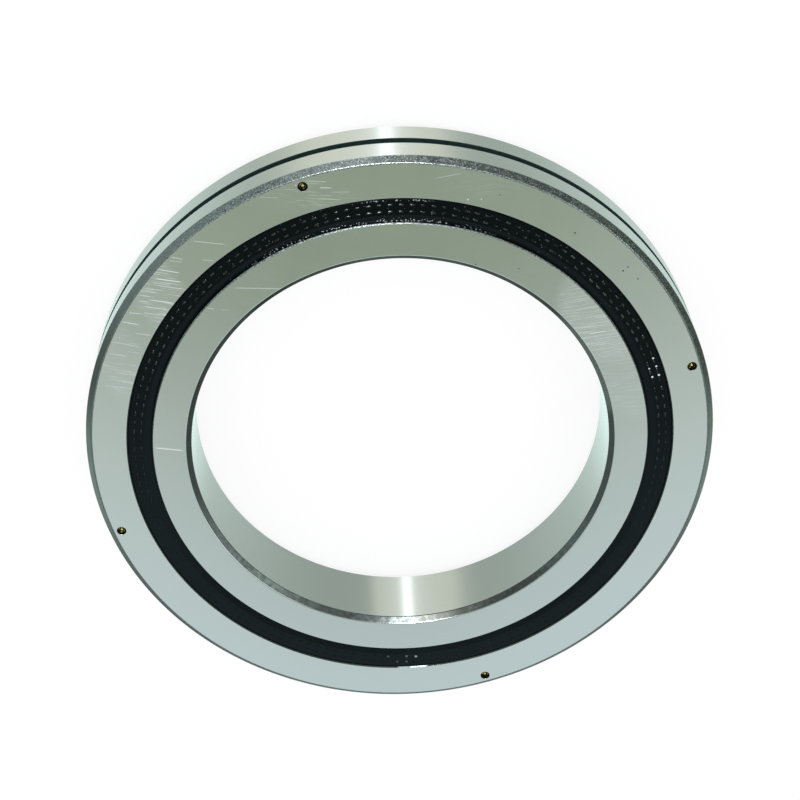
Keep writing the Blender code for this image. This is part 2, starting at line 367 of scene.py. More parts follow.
def facing(x, y, angle):
    """1 on the side of the bearing at this angle, falling to -1 on the far side."""
    return (x * math.cos(angle) + y * math.sin(angle)) / from_axis(x, y)


def stroke(x, y, start, end, width):
    """A mask of one straight scratch between two points, in millimetres."""
    off_x, off_y = offsets(x, y, ((start[0] + end[0]) / 2, (start[1] + end[1]) / 2))
    length = math.dist(start, end)
    along = ((end[0] - start[0]) / length, (end[1] - start[1]) / length)
    run = abs(off_x * along[0] + off_y * along[1])
    off_line = abs(off_x * along[1] - off_y * along[0])
    across = 1 - off_line.steps_up(width * MM * 0.3, width * MM)
    return across * (1 - run.steps_up(length * MM * 0.3, length * MM * 0.5))


def patch(x, y, centre, half_sizes, angle):
    """A soft oval mask about a point, in millimetres and degrees."""
    turn = math.radians(angle)
    off_x, off_y = offsets(x, y, centre)
    along = (off_x * math.cos(turn) + off_y * math.sin(turn)) / (half_sizes[0] * MM)
    across = (off_y * math.cos(turn) - off_x * math.sin(turn)) / (half_sizes[1] * MM)
    return 1 - (along * along + across * across).steps_up(0.35, 1.0)


def streaks(place, angle, sharpness):
    """Fine lines that run at an angle in the face's plane, in degrees."""
    lines = scaled(turned_by(place, math.radians(-angle)), (1 / STREAK_STRETCH, 1.0, 0.0))
    return noise(lines, STREAK_FINENESS, 2.0, 0.6).steps_up(sharpness, sharpness + 0.12)


def ground_face(name, lightness, scratches, brushed, pits, specks):
    """The flat ground sides of the rings, with the marks that handling left on the upper one."""
    material, shader, place = new_finish(name)
    x, y, z = split(place)
    on_upper_face = z.steps_up(1.9 * half_width, 1.98 * half_width)
    grain = noise(scaled(turned_by(place, math.radians(12)), (0.04, 1.0, 1.0)), 2600.0, 2.0)
    cloud = noise(place, 60.0, 2.0)
    marks = [stroke(x, y, start, end, width) * strength
             for start, end, width, strength in scratches]
    for centre, half_sizes, tilt, angle, amount, haze, sharpness in brushed:
        lines = streaks(place, angle, sharpness)
        area = patch(x, y, centre, half_sizes, tilt)
        marks.append(area * (lines * amount + haze))
    marks += [spot(x, y, centre, radius) for centre, radius in specks]
    marked = strongest(marks) * on_upper_face
    pitted = strongest([spot(x, y, centre, radius) for centre, radius in pits]) * on_upper_face
    colour = shaded(grain * 0.2 + cloud * 0.5, STEEL, 0.96 * lightness, 1.04 * lightness)
    colour = mix_colours(marked, colour, SCRATCHED_STEEL)
    colour = mix_colours(pitted, colour, PIT_BLACK)
    drive(shader, Base_Color=colour,
          Metallic=1 - marked * 0.45,
          Roughness=grain * 0.04 + cloud * 0.05 + 0.15 + marked * 0.22,
          Normal=bump(grain * 0.3 - marked * 0.5, 0.002 * MM, 0.3))
    return material


def ground_wall(name, lightness):
    """The cylindrical ground walls: grinding lines run round them, so reflections draw upright."""
    material, shader, place = new_finish(name)
    lines = noise(scaled(place, (0.02, 0.02, 1.0)), 9000.0, 2.0)
    cloud = noise(scaled(place, (1.0, 1.0, 0.2)), 90.0, 2.0)
    nicks = noise(scaled(place, (1.0, 1.0, 4.0)), 700.0, 2.0).steps_up(0.72, 0.78)
    colour = shaded(lines * 0.3 + cloud * 0.4, STEEL, 0.94 * lightness, 1.05 * lightness)
    colour = mix_colours(nicks * 0.12, colour, PIT_BLACK)
    drive(shader, Base_Color=colour, Roughness=lines * 0.05 + cloud * 0.04 + 0.19)
    hold(shader, Metallic=1.0, Anisotropic=0.95, Anisotropic_Rotation=0.25)
    return material


def hardened_chamfer(name, lightness, rough_side, grit, lightened, darkened_places):
    """The chamfers, left as hardened: smooth dark scale that is mottled about one angle.

    Grit is how fine and bright the mottling is. The colour is made lighter at some places and darker
    at others.
    """
    material, shader, place = new_finish(name)
    x, y, _ = split(place)
    mottled = facing(x, y, rough_side).steps_up(0.2, 0.9) * (0.4 + grit * 0.6)
    film = noise(place, 400.0, 2.0)
    coarse = noise(place, 850.0, 2.0, 0.6)
    fine = noise(place, 3100.0, 3.0, 0.7)
    mottle = (coarse * (1.1 - grit * 0.8) + fine * (grit * 0.8)).steps_up(0.42, 0.72)
    bright = grains(place, 2100.0, 0.34)
    calm = shaded(film, SCALE_CALM, 0.85 * lightness, 1.15 * lightness)
    rough = mix_colours(mottle, shade(SCALE_DARK, lightness), shade(SCALE_PALE, lightness))
    rough = mix_colours(bright * (0.6 * grit), rough, shade(STEEL, lightness))
    colour = mix_colours(mottled, calm, rough)
    colour = mix_colours(spots(x, y, lightened), colour, shade(STEEL, lightness))
    colour = mix_colours(spots(x, y, darkened_places), colour, PIT_BLACK)
    drive(shader, Base_Color=colour, Roughness=0.31 - mottled * mottle * 0.06,
          Normal=bump(fine * mottled, 0.02 * MM, 0.5 * grit))
    hold(shader, Metallic=0.95)
    return material


def speckled_edge(name, sheen_side):
    """A finely nicked edge with a painted sheen: its colour is lighter about one angle, the side
    toward the lamp.
    """
    material, shader, place = new_finish(name)
    x, y, _ = split(place)
    nicks = noise(place, 3400.0, 2.0, 0.7).steps_up(0.44, 0.60)
    lightened = mix_colours(nicks, (0.12, 0.13, 0.13), (0.60, 0.62, 0.63))
    dull = mix_colours(nicks, (0.13, 0.14, 0.135), (0.24, 0.26, 0.25))
    # Painted sheen: a lighter colour on the side toward the lamp
    painted_sheen = facing(x, y, sheen_side).steps_up(0.5, 0.95)
    colour = mix_colours(painted_sheen, dull, lightened)
    drive(shader, Base_Color=colour, Roughness=0.40 - nicks * 0.12,
          Normal=bump(nicks, 0.012 * MM, 0.5))
    hold(shader, Metallic=1.0)
    return material


def oiled_edge(name):
    """The outer ring's inner edge, dark with oil but for a short bright stretch that is a painted
    glint.
    """
    material, shader, place = new_finish(name)
    x, y, _ = split(place)
    fine = noise(place, 1200.0, 2.0)
    # Painted glint: a bright, bluish, fully metallic patch where the lamp's highlight falls on the
    # edge
    painted_sheen = spots(x, y, SHOULDER_GLINT_SPOTS)
    colour = mix_colours(fine, (0.012, 0.016, 0.016), (0.04, 0.048, 0.046))
    colour = mix_colours(painted_sheen, colour, (0.66, 0.74, 0.78))
    drive(shader, Base_Color=colour, Roughness=fine * 0.2 + 0.5 - painted_sheen * 0.3,
          Metallic=painted_sheen * 0.6 + 0.4)
    return material


def grained_finish(name, scale, detail, colours, roughness, metallic,
                   stretch=(1.0, 1.0, 1.0), relief=None):
    """One soft noise takes the colour and the roughness from their first value to their second.

    A relief is a bump's height and strength.
    """
    material, shader, place = new_finish(name)
    grain = noise(scaled(place, stretch), scale, detail)
    smooth, rough = roughness
    drive(shader, Base_Color=mix_colours(grain, *colours),
          Roughness=grain * (rough - smooth) + smooth)
    if relief:
        drive(shader, Normal=bump(grain, *relief))
    hold(shader, Metallic=metallic)
    return material


def dark_groove(name):
    """The oil groove, dark with scale and oil."""
    return grained_finish(name, 1500.0, 3.0, [(0.022, 0.055, 0.055), (0.06, 0.10, 0.10)],
                          (0.35, 0.55), 0.7, relief=(0.03 * MM, 0.5))


def seat_steel(name):
    """The turned seats and raceways inside, darker than the ground outside."""
    return grained_finish(name, 5000.0, 2.0, [(0.30, 0.33, 0.32), (0.50, 0.53, 0.52)],
                          (0.22, 0.32), 1.0, stretch=(0.05, 0.05, 1.0))


def hole_steel(name):
    """The walls of the small holes, blackened with oil."""
    return grained_finish(name, 3000.0, 2.0, [(0.012, 0.012, 0.01), (0.05, 0.045, 0.035)],
                          (0.3, 0.5), 0.8)


def polished_steel(name):
    """The rollers, ground and lapped."""
    return grained_finish(name, 500.0, 2.0, [(0.53, 0.55, 0.55), (0.64, 0.65, 0.66)],
                          (0.08, 0.16), 1.0)


def bare_brass(name):
    """Yellow brass scoured bright."""
    return grained_finish(name, 3000.0, 3.0, [(0.66, 0.56, 0.24), (0.92, 0.86, 0.50)],
                          (0.14, 0.29), 1.0, relief=(0.02 * MM, 0.3))


def oily_rubber(name):
    """Black nitrile rubber, oil-coated on the near side's nub crowns, with painted shade, painted
    sheen and painted glints.
    """
    material, shader, place = new_finish(name)
    x, y, z = split(place)
    radius = from_axis(x, y)
    near_side = facing(x, y, NEAR_SIDE)
    fine = noise(place, 1800.0, 3.0, 0.6)
    film = noise(place, 160.0, 3.0)
    blotch = noise(place, 900.0, 2.0)
    above = abs(z - half_width) - seal_top
    crown = above.steps_up(0.2 * NUB_HEIGHT, 0.7 * NUB_HEIGHT)
    # Painted glints: near-white spots on chosen nubs
    painted_nub_glints = spots(x, y, NUB_GLINT_SPOTS) * z.steps_up(half_width, 1.1 * half_width)
    # An oil coat on the near side's nub crowns, which also carries a painted sheen on them
    oil_and_crown_sheen = (near_side.steps_up(-0.6, 0.8) * blotch.steps_up(0.35, 0.6)).at_least(painted_nub_glints) * crown
    # Painted glints: white grains along the greasy lip, on the side toward the lamp
    off_lip = (radius - seal_inner_radius) / GREASE_GLINT_REACH
    grease_glints = (grains(place, 1900.0, 0.40 - off_lip * 0.20)
              * facing(x, y, GREASE_GLINT_SIDE).steps_up(0.86, 0.97))
    # Painted glints: white grains along the rim near one place
    off_rim = abs(radius - seal_outer_radius + RIM_GLINT_INSET)
    rim_glints = (grains(place, 2100.0, 0.40) * (1 - off_rim.steps_up(0.1 * MM, 0.25 * MM))
            * spot(x, y, RIM_GLINT_PLACE, RIM_GLINT_REACH) * 0.6)
    dust = grains(place, 1000.0, 0.10) * near_side.steps_up(0.4, 0.9) * 0.5
    specks = grease_glints.at_least(rim_glints).at_least(dust)
    # Painted shade: the base colour is blacker toward the near side and greyer toward the far side
    far_side_tone = mix_colours(film, (0.0025, 0.0040, 0.0045), (0.0048, 0.0072, 0.0090))
    near_side_shade = mix_colours(film, (0.0001, 0.0003, 0.0006), (0.0005, 0.0010, 0.0016))
    colour = mix_colours(near_side.steps_up(-0.5, 0.6), far_side_tone, near_side_shade)
    # Painted sheen: the near side's nub crowns are lighter
    colour = mix_colours(oil_and_crown_sheen * 0.6, colour, (0.030, 0.033, 0.035))
    # The painted nub glints
    colour = mix_colours(painted_nub_glints, colour, (0.80, 0.82, 0.86))
    # Painted glints at the lip and the rim, and pale dust on the near side
    colour = mix_colours(specks, colour, (0.78, 0.81, 0.83))
    drive(shader, Base_Color=colour,
          Roughness=0.31 - film * 0.06 - oil_and_crown_sheen * (0.18 - blotch * 0.16),
          Coat_Weight=oil_and_crown_sheen,
          Normal=bump(fine * 0.3 + specks, 0.015 * MM, 0.3))
    hold(shader, Metallic=0.0, Specular_IOR_Level=0.125, Coat_Roughness=0.15,
         Specular_Tint=(0.72, 0.95, 1.0, 1.0))
    return material


def oily_brass(name):
    """Brass almost black with oil, with a little yellow left on it."""
    material, shader, place = new_finish(name)
    fine = noise(place, 2400.0, 2.0)
    lightened = noise(place, 2000.0, 2.0).steps_up(0.53, 0.62)
    colour = mix_colours(fine, (0.012, 0.010, 0.004), (0.045, 0.035, 0.012))
    colour = mix_colours(lightened * 0.75, colour, (0.78, 0.62, 0.22))
    drive(shader, Base_Color=colour, Roughness=fine * 0.15 + 0.22,
          Normal=bump(fine, 0.05 * MM, 0.5))
    hold(shader, Metallic=1.0)
    return material


def cage_nylon(name):
    """Cream moulded polyamide, a little greasy."""
    material, shader, place = new_finish(name)
    cloud = noise(place, 260.0, 3.0)
    fine = noise(place, 3000.0, 2.0)
    colour = mix_colours(cloud, (0.52, 0.44, 0.29), (0.68, 0.60, 0.44))
    drive(shader, Base_Color=colour, Roughness=cloud * 0.2 + 0.35,
          Normal=bump(fine, 0.02 * MM, 0.3))
    return material


def rounded_outline(corners, closed):
    """Points along a section, from corners of (radius, height, rounding, finish).

    A corner's finish is that of its rounding and of the run that follows it, or a pair of both.
    Each point returned holds its radius, its height and the finish of the run that follows it.
    Long runs get a point near each end, so that smooth shading leaves them flat.
    """
    points = []
    count = len(corners)
    for index, (radius, height, rounding, finish) in enumerate(corners):
        edge, finish = finish if isinstance(finish, tuple) else (finish, finish)
        here = Vector((radius, height))
        open_end = not closed and index in (0, count - 1)
        if rounding == 0 or open_end:
            points.append((here, finish))
            continue
        before = Vector(corners[index - 1][:2]) - here
        after = Vector(corners[(index + 1) % count][:2]) - here
        opening = before.angle(after)
        reach = rounding / math.tan(opening / 2)
        start = here + before.normalized() * reach
        end = here + after.normalized() * reach
        centre = here + (before.normalized() + after.normalized()).normalized() * (
            rounding / math.sin(opening / 2))
        first = start - centre
        last = end - centre
        sweep = first.angle_signed(last)
        support = min(SUPPORT_GAP, reach)
        points.append((start + before.normalized() * support, points[-1][1] if points else edge))
        for step in range(ARC_STEPS + 1):
            share = step / ARC_STEPS
            turn = Matrix.Rotation(-sweep * share, 2)
            points.append((centre + turn @ first, edge if step < ARC_STEPS else finish))
        points.append((end + after.normalized() * support, finish))
    return [(point.x, point.y, finish) for point, finish in points]


def with_mirror(upper, closing):
    """The corners of a section's upper half, and of its mirror image below the middle plane.

    Closing is the finish of the last corner.
    """
    runs = [finish for _, _, _, finish in upper[-2::-1]] + [closing]
    lower = [(radius, -height, rounding, finish)
             for (radius, height, rounding, _), finish in zip(upper[::-1], runs)]
    return upper + lower


def plug_outline(radius, half_length, finish):
    """A plain cylinder, from its axis outwards."""
    return [(0.0, half_length, finish), (radius, half_length, finish),
            (radius, -half_length, finish), (0.0, -half_length, finish)]


def add_object(name, data):
    """A new object in the scene."""
    thing = bpy.data.objects.new(name, data)
    bpy.context.scene.collection.objects.link(thing)
    return thing


def turn_section(name, outline, columns, closed, finishes):
    """Turn a section of points round Z into an object, with one finish for each run."""
    mesh = bpy.data.meshes.new(name)
    shape = bmesh.new()
    for finish in finishes:
        mesh.materials.append(finish)
    turns = [2 * math.pi * column / columns for column in range(columns)]
    rings = []
    for radius, height, _ in outline:
        if radius < 1e-9:
            rings.append([shape.verts.new((0.0, 0.0, height))] * columns)
        else:
            rings.append([shape.verts.new((radius * math.cos(t), radius * math.sin(t), height))
                          for t in turns])
    runs = len(outline) if closed else len(outline) - 1
    for run in range(runs):
        near = rings[run]
        far = rings[(run + 1) % len(outline)]
        for column in range(columns):
            following = (column + 1) % columns
            corners = [near[column], far[column], far[following], near[following]]
            face = shape.faces.new(list(dict.fromkeys(corners)))
            face.material_index = finishes.index(outline[run][2])
            face.smooth = True
    bmesh.ops.recalc_face_normals(shape, faces=shape.faces)
    shape.to_mesh(mesh)
    shape.free()
    mesh.set_sharp_from_angle(angle=SHARP_ANGLE)
    return add_object(name, mesh)


def twin_at(piece, name, matrix):
    """A second piece with the same shape, turned or moved."""
    twin = add_object(name, piece.data.copy())
    twin.data.transform(matrix)
    twin.data.name = name
    return twin


def cut_away(piece, tool, places):
    """Cut a turned tool out of a piece at each place."""
    joined = bmesh.new()
    for place in places:
        done = len(joined.verts)
        joined.from_mesh(tool.data)
        joined.verts.ensure_lookup_table()
        bmesh.ops.transform(joined, matrix=place, verts=joined.verts[done:])
    joined.to_mesh(tool.data)
    joined.free()
    boolean = piece.modifiers.new(tool.name, "BOOLEAN")
    boolean.operation = "DIFFERENCE"
    boolean.solver = "EXACT"
    boolean.material_mode = "TRANSFER"
    boolean.object = tool
    depsgraph = bpy.context.evaluated_depsgraph_get()
    piece.data = bpy.data.meshes.new_from_object(piece.evaluated_get(depsgraph))
    piece.data.name = piece.name
    piece.data.set_sharp_from_angle(angle=SHARP_ANGLE)
    piece.modifiers.clear()
    bpy.data.objects.remove(tool)


def carry(piece, body, slot, *nodes):
    """Let a piece ride on a body and stand for its nodes."""
    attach(piece, body)
    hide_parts(*nodes)


def at_middle_plane():
    """From the section's own heights to the bearing's."""
    return Matrix.Translation((0.0, 0.0, half_width))


def flip_about(angle):
    """Upside down about the line in the middle plane at this angle."""
    flip = Matrix.Rotation(math.pi, 4, Vector((math.cos(angle), math.sin(angle), 0.0)))
    return at_middle_plane() @ flip @ at_middle_plane().inverted()


def round_the_axis(angle):
    """Turn about Z."""
    return Matrix.Rotation(angle, 4, "Z")


def rivet_angles():
    """Where the rivets stand round the outer ring."""
    return [RIVET_ANGLE + 2 * math.pi * index / RIVET_COUNT for index in range(RIVET_COUNT)]


def make_inner_ring():
    """The one-piece inner ring."""
    scratches = [
        ((59.0, 1.1), (51.4, 1.7), 0.20, 1.0),
        ((41.0, -41.8), (28.2, -42.0), 0.14, 0.55),
        ((46.2, -36.5), (44.4, -36.3), 0.12, 0.6),
        ((43.2, -36.2), (40.9, -36.1), 0.12, 0.3),
        ((-41.7, -32.8), (-46.2, -33.8), 0.16, 0.9),
    ]
    brushed = [
        ((-43.8, -36.5), (15.0, 9.0), 125.0, 192.0, 0.34, 0.14, 0.49),
        ((-51.0, -23.0), (15.0, 7.5), 113.0, 188.0, 0.20, 0.05, 0.51),
    ]
    pits = [((-14.4, -49.6), 0.16), ((-24.3, -48.9), 0.16)]
    specks = [((-40.2, -45.6), 0.2), ((-25.6, -44.1), 0.14)]
    face = ground_face("inner_ring_face", 0.945, scratches, brushed, pits, specks)
    wall = ground_wall("inner_ring_wall", 0.89)
    chamfer = hardened_chamfer("inner_ring_chamfer", 0.65, math.radians(90), 0.25,
                               [((-44.4, -25.6), 17.0, 0.8), ((-50.6, 0.0), 14.0, 0.14),
                                ((25.3, 43.9), 15.0, 0.12)],
                               [((25.3, -43.9), 16.0, 1.0), ((-25.3, 43.9), 16.0, 0.40),
                                ((-13.1, 48.9), 8.5, 0.85)])
    # The shoulder edge carries a painted sheen on the near side
    edge = speckled_edge("inner_ring_edge", NEAR_SIDE)
    seat = seat_steel("inner_ring_seat")
    lip_radius = PITCH_RADIUS - lip_offset
    groove_radius = PITCH_RADIUS - groove_reach
    upper = [
        (BORE_RADIUS + BORE_CHAMFER, half_width, BORE_CROWN, face),
        (inner_shoulder_radius - SHOULDER_BREAK, half_width, SMALL_ROUND, edge),
        (inner_shoulder_radius, half_width - SHOULDER_BREAK, SMALL_ROUND, seat),
        (inner_shoulder_radius, seal_floor, SMALL_ROUND, seat),
        (lip_radius, seal_floor, SMALL_ROUND, seat),
        (lip_radius, groove_reach - lip_offset, SMALL_ROUND, seat),
        (groove_radius + RELIEF_HALF_WIDTH, RELIEF_HALF_WIDTH, SMALL_ROUND, seat),
        (groove_radius - RELIEF_DEPTH, RELIEF_HALF_WIDTH, 0, seat),
    ]
    bore = [
        (BORE_RADIUS, BORE_CHAMFER - half_width, BORE_CROWN, wall),
        (BORE_RADIUS, half_width - BORE_CHAMFER, BORE_CROWN, chamfer),
    ]
    outline = rounded_outline(with_mirror(upper, chamfer) + bore, True)
    ring = turn_section("ground_inner_ring", outline, RING_COLUMNS, True,
                        [face, wall, chamfer, edge, seat])
    ring.data.transform(at_middle_plane())
    carry(ring, "inner_ring", "ring_steel", "inner_ring")


def rivet_hole_tool(rim, wall):
    """The stepped hole that a rivet's head sits in, with a broken edge at the face."""
    head_radius = RIVET_HEAD_DIAMETER / 2 + CLEARANCE
    shank_radius = RIVET_SHANK_DIAMETER / 2 + CLEARANCE
    step_height = rivet_head_bottom - CLEARANCE
    over = 1.0 * MM
    edge = 0.08 * MM
    outline = [
        (0.0, half_width + over, wall),
        (head_radius + edge + over, half_width + over, rim),
        (head_radius, half_width - edge, wall),
        (head_radius, step_height, wall),
        (shank_radius, step_height, wall),
        (shank_radius, -over, wall),
        (0.0, -over, wall),
    ]
    return turn_section("rivet_hole_tool", outline, RIVET_COLUMNS, False, [rim, wall])


def oil_port_tool(finish):
    """A radial port from the oil groove to the raceway."""
    half_length = (outside_radius - PITCH_RADIUS - groove_reach) / 2
    outline = plug_outline(OIL_PORT_DIAMETER / 2, half_length, finish)
    return turn_section("oil_port_tool", outline, RIVET_COLUMNS, False, [finish])


def make_outer_ring():
    """The two halves of the outer ring, the lower one the same piece turned over."""
    scratches = [
        ((49.9, -53.2), (41.4, -52.5), 0.14, 0.5),
        ((54.5, -49.1), (51.3, -48.5), 0.14, 0.55),
        ((54.8, -48.1), (51.5, -47.9), 0.12, 0.45),
        ((47.4, -48.6), (44.2, -48.4), 0.12, 0.45),
        ((57.3, -45.9), (52.0, -45.1), 0.16, 0.9),
        ((58.2, -43.6), (51.5, -42.8), 0.18, 1.0),
        ((58.9, -42.6), (53.8, -41.9), 0.14, 0.55),
        ((59.9, -38.2), (53.4, -37.5), 0.16, 0.75),
        ((60.9, -36.5), (54.6, -35.7), 0.16, 0.75),
        ((64.1, -34.7), (60.9, -34.5), 0.15, 0.7),
        ((60.9, -34.9), (56.3, -34.2), 0.14, 0.5),
        ((65.8, -32.4), (61.4, -31.6), 0.16, 0.75),
        ((62.9, -29.5), (58.7, -29.0), 0.14, 0.5),
        ((68.1, -27.2), (61.1, -25.8), 0.15, 0.5),
        ((69.1, -24.1), (64.4, -23.3), 0.15, 0.5),
        ((70.6, -15.6), (63.0, -14.8), 0.14, 0.3),
        ((24.8, -68.5), (19.5, -68.5), 0.15, 0.45),
        ((21.5, -67.0), (18.6, -67.1), 0.14, 0.7),
        ((22.1, -64.5), (15.9, -64.3), 0.14, 0.35),
        ((19.2, -66.0), (14.2, -66.3), 0.12, 0.35),
        ((34.9, -64.3), (30.0, -64.3), 0.12, 0.3),
        ((-3.3, -70.0), (-10.3, -71.7), 0.12, 0.35),
    ]
    brushed = [
        ((57.0, -39.5), (20.0, 7.0), 124.0, 173.0, 0.85, 0.06, 0.55),
        ((66.0, -21.0), (14.0, 6.6), 108.0, 171.0, 0.55, 0.04, 0.56),
        ((24.0, -66.0), (18.0, 5.0), 160.0, 180.0, 0.42, 0.0, 0.565),
        ((-14.0, -68.0), (12.0, 4.0), 191.0, 192.0, 0.10, 0.0, 0.56),
    ]
    pits = [((-36.2, -58.2), 0.22), ((-48.1, -49.2), 0.24), ((-49.1, -50.2), 0.2),
            ((-51.7, -47.3), 0.2), ((-18.6, -66.8), 0.15)]
    specks = [((-11.6, -65.4), 0.19), ((-14.6, -65.6), 0.16), ((26.6, -67.4), 0.16)]
    face = ground_face("outer_ring_face", 1.0, scratches, brushed, pits, specks)
    wall = ground_wall("outer_ring_wall", 1.0)
    chamfer = hardened_chamfer("outer_ring_chamfer", 0.95, math.radians(255), 1.0,
                               [((19.2, -71.8), 13.0, 0.13)],
                               [((-64.3, -37.1), 48.0, 0.28)])
    # The chamfer's crown and the rivet holes' rims carry a painted sheen on the near side
    painted_sheen = speckled_edge("outer_ring_sheen_edge", NEAR_SIDE)
    edge = oiled_edge("outer_ring_edge")
    groove = dark_groove("oil_groove_steel")
    seat = seat_steel("outer_ring_seat")
    rim = speckled_edge("rivet_hole_rim", NEAR_SIDE)
    hole = hole_steel("rivet_hole_steel")
    split_height = CLEARANCE / 2
    lip_radius = PITCH_RADIUS + lip_offset
    groove_radius = PITCH_RADIUS + groove_reach
    bead_groove_radius = bead_radius + CLEARANCE
    groove_floor_radius = outside_radius - OIL_GROOVE_DEPTH
    outside = [
        (outside_radius - OUTSIDE_CHAMFER, half_width, CHAMFER_CROWN, (painted_sheen, chamfer)),
        (outside_radius, half_width - OUTSIDE_CHAMFER, EDGE_ROUND, wall),
        (outside_radius, OIL_GROOVE_WIDTH / 2, SMALL_ROUND, groove),
        (groove_floor_radius, OIL_GROOVE_WIDTH / 2, SMALL_ROUND, groove),
        (groove_floor_radius, split_height, 0, seat),
    ]
    raceway = [
        (groove_radius + RELIEF_DEPTH, split_height, 0, seat),
        (groove_radius + RELIEF_DEPTH, RELIEF_HALF_WIDTH, 0, seat),
        (groove_radius - RELIEF_HALF_WIDTH, RELIEF_HALF_WIDTH, SMALL_ROUND, seat),
        (lip_radius, groove_reach - lip_offset, SMALL_ROUND, seat),
        (lip_radius, seal_floor, SMALL_ROUND, seat),
    ]
    seal_seat = [
        (outer_shoulder_radius, seal_floor, SMALL_ROUND, seat),
        (outer_shoulder_radius, bead_bottom - CLEARANCE, SMALL_ROUND, seat),
        (bead_groove_radius, bead_bottom - CLEARANCE, SMALL_ROUND, seat),
        (bead_groove_radius, bead_top + CLEARANCE, SMALL_ROUND, seat),
        (outer_shoulder_radius, bead_top + CLEARANCE, SMALL_ROUND, seat),
        (outer_shoulder_radius, half_width - SHOULDER_BREAK, SMALL_ROUND, edge),
        (outer_shoulder_radius + SHOULDER_BREAK, half_width, SMALL_ROUND, face),
    ]
    outline = rounded_outline(outside + raceway + seal_seat, True)
    upper = turn_section("ground_outer_ring_upper", outline, RING_COLUMNS, True,
                         [face, wall, chamfer, painted_sheen, edge, groove, seat])
    to_circle = Matrix.Translation((rivet_circle_radius, 0.0, 0.0))
    cut_away(upper, rivet_hole_tool(rim, hole),
             [round_the_axis(angle) @ to_circle for angle in rivet_angles()])
    port_middle = (outside_radius + groove_radius) / 2
    half_step = math.pi / RIVET_COUNT
    ports = [round_the_axis(angle + half_step)
             @ Matrix.Translation((port_middle, 0.0, 0.0))
             @ Matrix.Rotation(math.pi / 2, 4, "Y") for angle in rivet_angles()]
    cut_away(upper, oil_port_tool(hole), ports)
    upper.data.transform(at_middle_plane())
    lower = twin_at(upper, "ground_outer_ring_lower", flip_about(RIVET_ANGLE))
    carry(upper, "outer_ring", "ring_steel", "outer_ring_upper")
    carry(lower, "outer_ring", "ring_steel", "outer_ring_lower")


def nub_outline(inset, height):
    """A rounded rectangle, drawn in from the nub's foot by the inset."""
    centre_x = NUB_WIDTH / 2 - NUB_CORNER
    centre_y = NUB_LENGTH / 2 - NUB_CORNER
    points = []
    for corner in range(4):
        side_x = 1 if corner in (0, 3) else -1
        side_y = 1 if corner in (0, 1) else -1
        for step in range(NUB_CORNER_STEPS + 1):
            angle = math.pi / 2 * (corner + step / NUB_CORNER_STEPS)
            points.append((side_x * centre_x + (NUB_CORNER - inset) * math.cos(angle),
                           side_y * centre_y + (NUB_CORNER - inset) * math.sin(angle), height))
    return points


def make_nub(rubber):
    """One nub, long along Y: a pad whose foot is sunk in the web."""
    levels = [(0.0, -NUB_SINK)]
    levels += [(share * NUB_BEVEL, share * NUB_HEIGHT) for share in (0.0, 0.15, 0.85, 1.0)]
    levels.append((1.2 * NUB_BEVEL, NUB_HEIGHT))
    shape = bmesh.new()
    loops = [[shape.verts.new(point) for point in nub_outline(inset, height)]
             for inset, height in levels]
    for lower, upper in zip(loops, loops[1:]):
        for index in range(len(lower)):
            following = (index + 1) % len(lower)
            shape.faces.new((lower[index], lower[following], upper[following], upper[index]))
    shape.faces.new(list(reversed(loops[0])))
    shape.faces.new(loops[-1])
    for face in shape.faces:
        face.smooth = True
    mesh = bpy.data.meshes.new("nub")
    mesh.materials.append(rubber)
    shape.to_mesh(mesh)
    shape.free()
    return mesh


def seal_outline(finish):
    """The seal's section: bead, flat web and thin lip."""
    lip_root_radius = inner_shoulder_radius + CLEARANCE + SEAL_LIP_WIDTH
    lip_top = seal_top - SEAL_LIP_DROP
    corners = [
        (seal_outer_radius - SEAL_EDGE_BREAK, seal_top, SMALL_ROUND, finish),
        (seal_outer_radius, seal_top - SEAL_EDGE_BREAK, SMALL_ROUND, finish),
        (seal_outer_radius, bead_top, 0, finish),
        (bead_radius, bead_top, SMALL_ROUND, finish),
        (bead_radius, bead_bottom, SMALL_ROUND, finish),
        (seal_outer_radius, bead_bottom, 0, finish),
        (seal_outer_radius, seal_bottom, 0, finish),
        (lip_root_radius, seal_bottom, 0, finish),
        (seal_inner_radius, lip_top - SEAL_LIP_THICKNESS, SMALL_ROUND, finish),
        (seal_inner_radius, lip_top, SMALL_ROUND, finish),
        (lip_root_radius, seal_top, EDGE_ROUND, finish),
    ]
    return rounded_outline(corners, True)


def make_seals():
    """The seal in each face, with two rows of nubs round it."""
    rubber = oily_rubber("seal_rubber_finish")
    upper = turn_section("moulded_seal_upper", seal_outline(rubber), RING_COLUMNS, True,
                         [rubber])
    nub = make_nub(rubber)
    shape = bmesh.new()
    shape.from_mesh(upper.data)
    for row_radius in NUB_ROW_RADII:
        for number in range(NUBS_IN_A_ROW):
            angle = NUB_FIRST_ANGLE + 2 * math.pi * number / NUBS_IN_A_ROW
            copy = nub.copy()
            copy.transform(round_the_axis(angle)
                           @ Matrix.Translation((row_radius, 0.0, seal_top)))
            shape.from_mesh(copy)
            bpy.data.meshes.remove(copy)
    shape.to_mesh(upper.data)
    shape.free()
    bpy.data.meshes.remove(nub)
    upper.data.set_sharp_from_angle(angle=SEAL_SHARP_ANGLE)
    upper.data.transform(at_middle_plane())
    lower = twin_at(upper, "moulded_seal_lower", flip_about(0.0))
    carry(upper, "outer_ring", "seal_rubber", "seal_upper")
    carry(lower, "outer_ring", "seal_rubber", "seal_lower")


